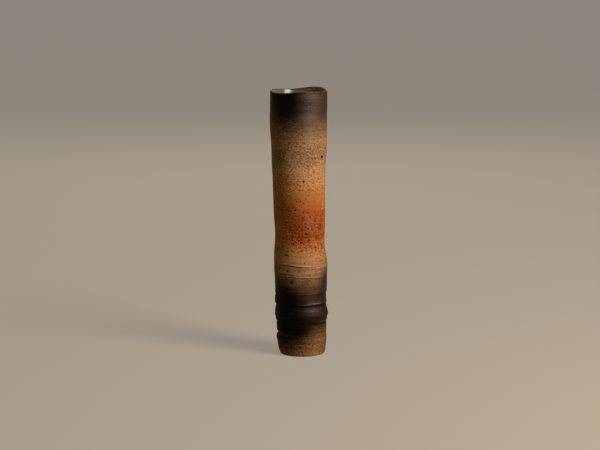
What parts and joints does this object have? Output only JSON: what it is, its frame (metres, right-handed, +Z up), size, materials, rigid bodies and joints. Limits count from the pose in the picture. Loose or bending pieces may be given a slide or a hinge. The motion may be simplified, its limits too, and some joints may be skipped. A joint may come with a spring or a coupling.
{
  "type": "stoneware cylinder vase",
  "caption": "Tall narrow stoneware vase built in clay courses, with soft ribs near the foot, a straight collar, a wavy lip and a glazed inside, for holding flowers or branches.",
  "frame": {"origin": "middle of the resting face under the base disc", "axes": "+Z up along the vase to its mouth, -Y towards the side that the picture shows"},
  "size_m": [0.0828, 0.08, 0.3825],
  "materials": {
    "tan_clay": "bare fired clay, matt, tan with specks",
    "flushed_clay": "bare fired clay, matt, tan flushed orange by the flame",
    "dark_clay": "smoked and ash-dusted clay, dark brown, satin",
    "slip": "fine fired slip, matt, brown",
    "liner_glaze": "olive glaze, glossy"
  },
  "bodies": {
    "root": {"base_disc": "tan_clay", "foot_course": "tan_clay", "ledge_course": "dark_clay", "lower_rib_course": "dark_clay", "upper_rib_course": "dark_clay", "band_course": "dark_clay", "fold_course": "tan_clay", "body_tube": "flushed_clay", "collar": "dark_clay", "slip_foot": "slip", "slip_ledge": "slip", "slip_lower_rib": "slip", "slip_upper_rib": "slip", "slip_band": "slip", "slip_fold": "slip", "slip_body": "slip", "slip_collar": "slip", "glaze_liner": "liner_glaze"}
  },
  "joints": []
}
